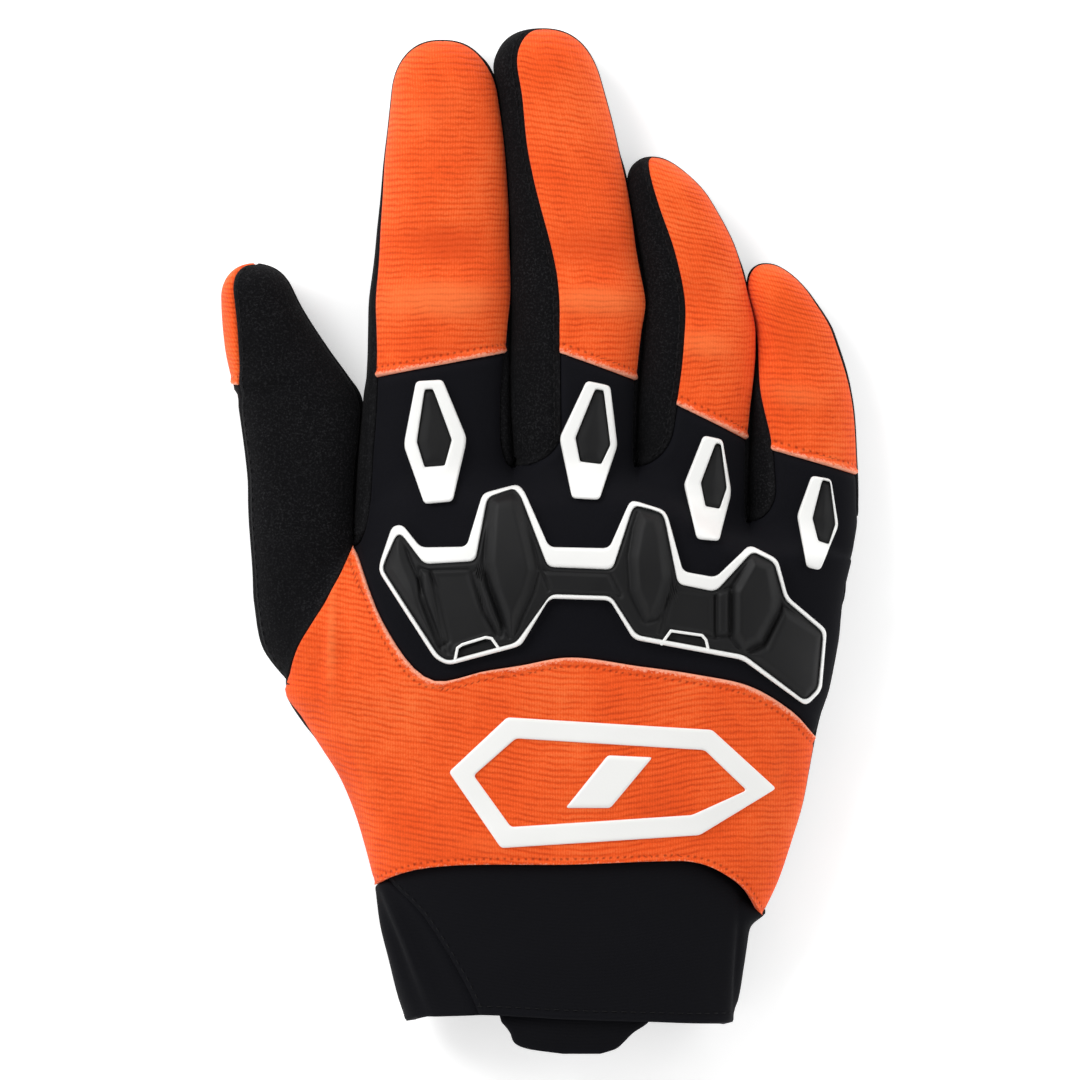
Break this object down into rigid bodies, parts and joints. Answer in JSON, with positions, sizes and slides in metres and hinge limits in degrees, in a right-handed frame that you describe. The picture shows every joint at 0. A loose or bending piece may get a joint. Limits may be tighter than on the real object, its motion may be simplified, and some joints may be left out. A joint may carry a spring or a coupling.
{
  "type": "motocross glove",
  "caption": "Right-hand off-road riding glove with ribbed knit back, moulded knuckle guard, finger pads and a slip-on wrist cuff.",
  "frame": {"origin": "on the surface the palm lies on, under the middle of the glove's bounding box", "axes": "+Y along the fingers towards their ends, +X from the thumb towards the little finger, +Z out of the back of the hand"},
  "size_m": [0.1462, 0.2356, 0.0341],
  "materials": {
    "orange_knit": "ribbed stretch knit, matt",
    "black_knit": "smooth stretch knit, matt",
    "suede": "brushed synthetic suede",
    "neoprene": "neoprene faced with fine knit",
    "guard_rubber": "moulded, satin",
    "white_rubber": "moulded, satin"
  },
  "bodies": {
    "root": {"hand_back": "orange_knit", "knuckle_panel": "black_knit", "palm": "suede", "finger_back_index": "orange_knit", "sidewall_index": "suede", "finger_back_middle": "orange_knit", "sidewall_middle": "suede", "finger_back_ring": "orange_knit", "sidewall_ring": "suede", "finger_back_little": "orange_knit", "sidewall_little": "suede", "thumb_top": "suede", "thumb_front": "suede", "thumb_side": "suede", "thumb_back": "orange_knit", "thumb_inner": "suede", "cuff_back": "neoprene", "cuff_front": "neoprene", "cuff_gusset": "neoprene", "pull_tab": "neoprene", "guard": "guard_rubber", "guard_trim": "white_rubber", "pad_frame_index": "white_rubber", "pad_insert_index": "guard_rubber", "pad_frame_middle": "white_rubber", "pad_insert_middle": "guard_rubber", "pad_frame_ring": "white_rubber", "pad_insert_ring": "guard_rubber", "pad_frame_little": "white_rubber", "pad_insert_little": "guard_rubber", "print_frame": "white_rubber", "print_slash": "white_rubber"}
  },
  "joints": []
}
